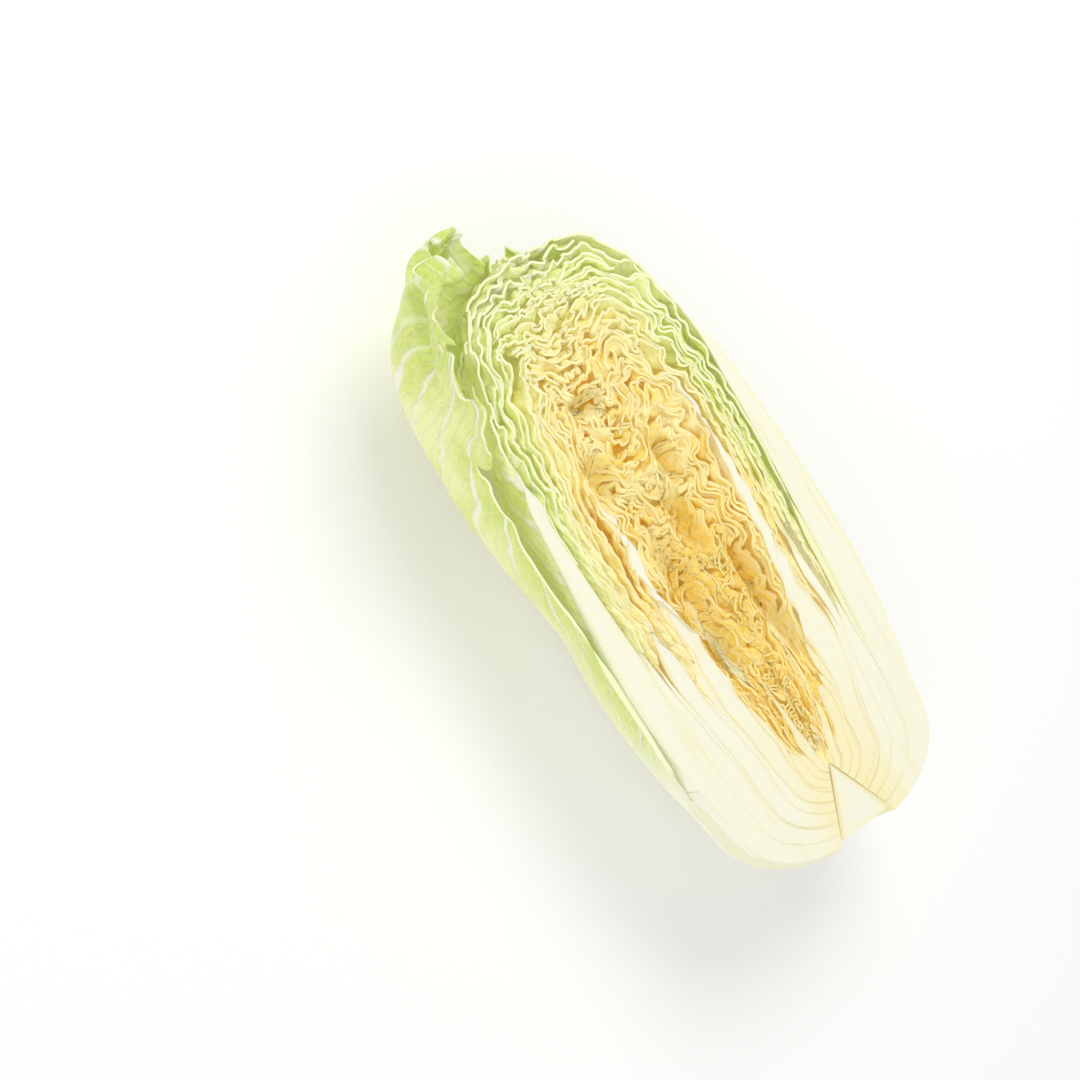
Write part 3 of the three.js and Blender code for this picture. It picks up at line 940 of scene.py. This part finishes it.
# %% Net group
def net_group():
    tree, given, put = group(
        "fine_net",
        [("Place", "NodeSocketVector", None), ("Scale", "NodeSocketFloat", 150.0),
         ("Width", "NodeSocketFloat", 0.09)],
        [("Net", "NodeSocketFloat"), ("Swelling", "NodeSocketFloat")])
    shift = tree.nodes.new("ShaderNodeTexNoise")
    tree.links.new(given.outputs["Place"], shift.inputs["Vector"])
    shift.inputs["Scale"].default_value = 120
    moved = tree.nodes.new("ShaderNodeVectorMath")
    moved.operation = "MULTIPLY_ADD"
    tree.links.new(shift.outputs["Color"], moved.inputs[0])
    moved.inputs[1].default_value = (0.006, 0.006, 0.006)
    tree.links.new(given.outputs["Place"], moved.inputs[2])
    cells = tree.nodes.new("ShaderNodeTexVoronoi")
    cells.feature = "DISTANCE_TO_EDGE"
    tree.links.new(moved.outputs[0], cells.inputs["Vector"])
    tree.links.new(given.outputs["Scale"], cells.inputs["Scale"])
    distance = cells.outputs["Distance"]
    tree.links.new(ramp(tree, distance, given.outputs["Width"], 0.0), put.inputs["Net"])
    tree.links.new(ramp(tree, distance, 0.0, 0.4), put.inputs["Swelling"])
    return tree


fine_net = net_group()

# %% [markdown]
# ### Fibres of cut flesh
# A cut rib shows its bundles as fine pale and yellowish streaks along the leaf. A noise texture that is
# stretched along the head gives the streaks, and an even one gives soft clouds of tone.

# %% Fibre group
def fibre_group():
    tree, given, put = group(
        "flesh_fibres",
        [("Place", "NodeSocketVector", None), ("Scale", "NodeSocketFloat", 900.0)],
        [("Fibre", "NodeSocketFloat"), ("Streak", "NodeSocketFloat"), ("Cloud", "NodeSocketFloat")])
    stretched = tree.nodes.new("ShaderNodeVectorMath")
    stretched.operation = "MULTIPLY"
    tree.links.new(given.outputs["Place"], stretched.inputs[0])
    stretched.inputs[1].default_value = (1.0, 0.07, 1.0)
    streaks = tree.nodes.new("ShaderNodeTexNoise")
    tree.links.new(stretched.outputs[0], streaks.inputs["Vector"])
    tree.links.new(given.outputs["Scale"], streaks.inputs["Scale"])
    streaks.inputs["Detail"].default_value = 3
    tree.links.new(ramp(tree, streaks.outputs["Fac"], 0.3, 0.7), put.inputs["Fibre"])
    tree.links.new(ramp(tree, noise(tree, stretched.outputs[0], 230.0, 1.0), 0.55, 0.8), put.inputs["Streak"])
    tree.links.new(ramp(tree, noise(tree, given.outputs["Place"], 60.0), 0.35, 0.65), put.inputs["Cloud"])
    return tree


flesh_fibres = fibre_group()
print("node groups:", [tree.name for tree in bpy.data.node_groups])

# %% [markdown]
# ### What all the finishes share
# Each finish is one Principled shader with light that scatters under the surface, red further than blue, and a
# thin wet coat. Light that has come through many leaves is too slow to follow. A faint glow of the leaf's own
# colour stands for it, and keeps the deep folds bright and warm.

# %% Shared parts of a finish
def value_of(tree, name):
    node = tree.nodes.new("ShaderNodeAttribute")
    node.attribute_name = name
    return node.outputs["Fac"]


def use_group(tree, group_tree, links, numbers):
    node = tree.nodes.new("ShaderNodeGroup")
    node.node_tree = group_tree
    for name, source in links.items():
        tree.links.new(source, node.inputs[name])
    for name, number in numbers.items():
        node.inputs[name].default_value = number
    return node.outputs


def new_finish(name, roughness, scatter, glow):
    """A material with its node tree and shader, with what is the same all over set on the shader itself."""
    finish = bpy.data.materials.new(name)
    finish.use_nodes = True
    tree = finish.node_tree
    shader = tree.nodes["Principled BSDF"]
    shader.inputs["Roughness"].default_value = roughness
    shader.inputs["Subsurface Weight"].default_value = scatter
    shader.inputs["Subsurface Radius"].default_value = (1.0, 0.75, 0.3)
    shader.inputs["Subsurface Scale"].default_value = 0.004
    shader.inputs["Emission Strength"].default_value = glow
    shader.inputs["Coat Weight"].default_value = 0.12
    shader.inputs["Coat Roughness"].default_value = 0.25
    return finish, tree, shader


def bump(tree, shader, height, distance, strength):
    node = tree.nodes.new("ShaderNodeBump")
    node.inputs["Distance"].default_value = distance
    node.inputs["Strength"].default_value = strength
    tree.links.new(height, node.inputs["Height"])
    tree.links.new(node.outputs["Normal"], shader.inputs["Normal"])


def dye(tree, shader, color):
    """Give the shader this colour, for the light that it throws back and for its glow."""
    tree.links.new(color, shader.inputs["Base Color"])
    tree.links.new(color, shader.inputs["Emission Color"])


# %% [markdown]
# ### Blades of the inner leaves
# The blade is golden in the heart, where no light reached it, and green near the head's outside. A deeper gold
# is painted shade: it grows with depth below the cut, in the hollows and the gaps between sheets. White comes in
# along the ribs and at the foot. The fine net gives both the paler lines and the bump, so that what is pale is
# also where the leaf is drawn in.

# %% Inner blades
GOLD = paint(238, 210, 106)
DEEP_GOLD = paint(238, 194, 62)
CREAM = paint(244, 229, 164)
PALE_LEAF = paint(232, 236, 172)
GREEN = paint(210, 222, 116)
BRIGHT_GREEN = paint(186, 208, 70)
RIB_WHITE = paint(238, 238, 219)


def inner_blade(name, scatter):
    """The soft leaf inside the head."""
    finish, tree, shader = new_finish(name, 0.42, scatter, 0.16)
    place = tree.nodes.new("ShaderNodeTexCoord").outputs["Object"]
    net = use_group(tree, fine_net, {"Place": place}, {"Scale": 260.0, "Width": 0.12})
    patches = ramp(tree, noise(tree, place, 70.0), 0.35, 0.65)
    gold = mix_colors(tree, patches, GOLD, CREAM)
    gold = mix_colors(tree, math_node(tree, "MULTIPLY", value_of(tree, "core"), 0.7), gold, DEEP_GOLD)
    # painted shade: the blade turns a deeper gold the further it lies below the cut, in the hollows and gaps
    gold = mix_colors(tree, value_of(tree, "painted_depth_shade"), gold, DEEP_GOLD)
    leaf = mix_colors(tree, patches, BRIGHT_GREEN, GREEN)
    outer = mix_colors(tree, math_node(tree, "MULTIPLY", value_of(tree, "green"), 0.75), PALE_LEAF, leaf)
    color = mix_colors(tree, value_of(tree, "gold"), outer, gold)
    color = mix_colors(tree, math_node(tree, "MULTIPLY", net["Net"], 0.35), color, CREAM)
    white = math_node(tree, "MAXIMUM", ramp(tree, value_of(tree, "rib"), 0.0, 0.45),
                      math_node(tree, "MULTIPLY", value_of(tree, "foot"), 0.85))
    warm = math_node(tree, "MAXIMUM", value_of(tree, "core"),
                     math_node(tree, "MULTIPLY", value_of(tree, "gold"), 0.7))
    rib_color = mix_colors(tree, warm, RIB_WHITE, CREAM)
    color = mix_colors(tree, white, color, rib_color)
    dye(tree, shader, color)
    bump(tree, shader, net["Swelling"], 0.0006, 0.5)
    return finish


# %% [markdown]
# ### Blades of the outer leaves
# Outside, the broad white side veins are what one sees first, with a few faint twigs and small cushions between
# them. Real veins don't stay equally white, so a large noise lets them come and go. Only the soft part of the
# leaf has relief: on the thick white rib the skin is smooth.

# %% Outer blades
def outer_blade(name):
    """The outer leaves, seen from outside."""
    finish, tree, shader = new_finish(name, 0.46, 0.12, 0.13)
    place = tree.nodes.new("ShaderNodeTexCoord").outputs["Object"]
    leaf_map = tree.nodes.new("ShaderNodeUVMap")
    leaf_map.uv_map = "leaf_map"
    veins = use_group(tree, side_veins, {"Map": leaf_map.outputs["UV"]},
                      {"Pitch": 0.27, "Width": 0.045, "Slant": 1.8, "Wander": 0.22})
    uneven = ramp(tree, noise(tree, place, 22.0), 0.35, 0.62, 0.25, 0.9)
    twigs = use_group(tree, side_veins, {"Map": leaf_map.outputs["UV"]},
                      {"Pitch": 0.075, "Width": 0.008, "Slant": 1.2, "Wander": 0.1})
    net = use_group(tree, fine_net, {"Place": place}, {"Scale": 170.0, "Width": 0.08})
    patches = ramp(tree, noise(tree, place, 28.0), 0.2, 0.6)
    color = mix_colors(tree, patches, GREEN, PALE_LEAF)
    color = mix_colors(tree, math_node(tree, "MULTIPLY", value_of(tree, "margin"), 0.6), color, BRIGHT_GREEN)
    color = mix_colors(tree, math_node(tree, "MULTIPLY", net["Net"], 0.35), color, PALE_LEAF)
    white = math_node(tree, "MAXIMUM", ramp(tree, value_of(tree, "rib"), 0.0, 0.6), value_of(tree, "foot"))
    bare = ramp(tree, white, 0.9, 0.3)
    white = math_node(tree, "MAXIMUM", white, math_node(tree, "MULTIPLY", veins["Vein"], uneven))
    white = math_node(tree, "MAXIMUM", white, math_node(tree, "MULTIPLY", twigs["Vein"], 0.22))
    color = mix_colors(tree, white, color, RIB_WHITE)
    dye(tree, shader, color)
    relief = math_node(tree, "ADD", math_node(tree, "MULTIPLY", net["Swelling"], 0.6),
                       math_node(tree, "MULTIPLY", twigs["Vein"], 0.4))
    relief = math_node(tree, "ADD", relief, math_node(tree, "MULTIPLY", veins["Vein"], 0.8))
    bump(tree, shader, math_node(tree, "MULTIPLY", relief, bare), 0.0009, 0.7)
    return finish


# %% [markdown]
# ### Cut flesh
# The cut edge of a thin leaf is a bright line with slightly darker skin on both sides, which tells the eye that
# there are two leaves and not one. The mesh says on which side of the edge a point is, and the darker tone grows
# towards both. Packed ribs at the foot keep only a trace of it.

# %% Cut flesh
CUT_GREEN = paint(238, 242, 198)
CUT_GOLD = paint(246, 220, 128)
STREAK_TONE = paint(238, 220, 156)
GREEN_SKIN = paint(232, 232, 176)
GOLD_SKIN = paint(232, 210, 128)


def cut_finish(name):
    """Freshly cut flesh: white in the ribs, cream to gold in the thin leaves."""
    finish, tree, shader = new_finish(name, 0.36, 0.15, 0.08)
    place = tree.nodes.new("ShaderNodeTexCoord").outputs["Object"]
    fibres = use_group(tree, flesh_fibres, {"Place": place}, {})
    color = mix_colors(tree, value_of(tree, "gold"), CUT_GREEN, CREAM)
    color = mix_colors(tree, math_node(tree, "MULTIPLY", value_of(tree, "core"), 0.6), color, CUT_GOLD)
    white = math_node(tree, "MAXIMUM", ramp(tree, value_of(tree, "rib"), 0.0, 0.4), value_of(tree, "foot"))
    rib_color = mix_colors(tree, math_node(tree, "MULTIPLY", value_of(tree, "core"), 0.6), RIB_WHITE, CREAM)
    color = mix_colors(tree, white, color, rib_color)
    shade = math_node(tree, "MULTIPLY", fibres["Fibre"], 0.2)
    color = mix_colors(tree, shade, color, CREAM)
    color = mix_colors(tree, math_node(tree, "MULTIPLY", fibres["Streak"], 0.35), color, STREAK_TONE)
    skin = ramp(tree, math_node(tree, "ABSOLUTE", value_of(tree, "skin")), 0.66, 1.0)
    tone = mix_colors(tree, value_of(tree, "gold"), GREEN_SKIN, GOLD_SKIN)
    skin = math_node(tree, "MULTIPLY", skin, ramp(tree, value_of(tree, "foot"), 0.2, 1.0, 0.65, 0.2))
    color = mix_colors(tree, skin, color, tone)
    dye(tree, shader, color)
    bump(tree, shader, fibres["Fibre"], 0.0003, 0.25)
    return finish


blades = {
    "wrapper": outer_blade("wrapper_blade"),
    "head": inner_blade("head_blade", 0.2),
    "heart": inner_blade("heart_blade", 0.25),
}
cut_flesh = cut_finish("cut_flesh")
print("finishes:", [finish.name for finish in blades.values()] + [cut_flesh.name])

# %% [markdown]
# ## Make the leaves
# Every leaf takes the place of its plain solid. Its sheets become one mesh, smooth on the blade and sharp at the
# cut walls, with the finish values as point attributes and the leaf's own map as its UV layer.

# %% Make the leaves
MAP_UNIT = 100


def make_leaf(leaf):
    """Build one leaf, let it ride on the body, and return its number of triangles."""
    layers = [closed_sheet(*leaf_grid(leaf, layer)) for layer in range(1 if leaf.wraps else SHEETS)]
    points, faces, walls, fields = join_sheets(layers)
    mesh = bpy.data.meshes.new(leaf.node + "_sheet")
    mesh.from_pydata(to_frame(points).tolist(), [], faces)
    mesh.materials.append(blades[leaf.kind])
    mesh.materials.append(cut_flesh)
    mesh.polygons.foreach_set("material_index", walls.astype(np.int32))
    mesh.polygons.foreach_set("use_smooth", ~walls)
    leaf_map = fields.pop("map")
    for name, field in fields.items():
        mesh.attributes.new(name, "FLOAT", "POINT").data.foreach_set("value", field.astype(np.float32))
    loops = np.zeros(len(mesh.loops), np.int32)
    mesh.loops.foreach_get("vertex_index", loops)
    map_layer = mesh.uv_layers.new(name="leaf_map")
    map_layer.data.foreach_set("uv", (leaf_map[loops] / MAP_UNIT).astype(np.float32).ravel())
    piece = bpy.data.objects.new(leaf.node + "_sheet", mesh)
    scene.collection.objects.link(piece)
    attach(piece, "root")
    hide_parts(leaf.node)
    return sum(len(face) - 2 for face in faces)


triangles = [make_leaf(leaf) for leaf in leaves]
print("triangles:", sum(triangles), "largest leaf:", max(triangles))

# %% [markdown]
# ## The stem
# The stem's solid already has the right shape, a half cone that was cut with the head, so it stays and only gets
# a finish: white inside, with the thin yellowish line where the stem's bark meets the leaves' feet.

# %% Stem
STEM_RIM = paint(236, 218, 140)


def stem_finish():
    """White flesh with a yellowish rim: the cut triangle's sides are found from the stem's own box."""
    finish, tree, shader = new_finish("stem_flesh", 0.4, 0.15, 0.08)
    place = tree.nodes.new("ShaderNodeTexCoord").outputs["Object"]
    parts = tree.nodes.new("ShaderNodeSeparateXYZ")
    tree.links.new(place, parts.inputs[0])
    low, high = (np.array(corner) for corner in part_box("stem"))
    middle = float((low[0] + high[0]) / 2)
    from_middle = math_node(tree, "ABSOLUTE", math_node(tree, "SUBTRACT", parts.outputs["X"], middle))
    to_apex = math_node(tree, "SUBTRACT", float(high[1]), parts.outputs["Y"])
    slope = float((high[0] - low[0]) / 2 / (high[1] - low[1]))
    inside = math_node(tree, "SUBTRACT", math_node(tree, "MULTIPLY", to_apex, slope), from_middle)
    rim = ramp(tree, inside, 0.0022, 0.0004)
    fibres = use_group(tree, flesh_fibres, {"Place": place}, {})
    color = mix_colors(tree, math_node(tree, "MULTIPLY", fibres["Cloud"], 0.3), RIB_WHITE, CREAM)
    color = mix_colors(tree, math_node(tree, "MULTIPLY", rim, 0.5), color, STEM_RIM)
    dye(tree, shader, color)
    bump(tree, shader, fibres["Fibre"], 0.0004, 0.3)
    return finish


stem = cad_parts["stem"]
stem.data.materials.clear()
stem.data.materials.append(stem_finish())
print("stem keeps its solid, finish:", stem.data.materials[0].name)
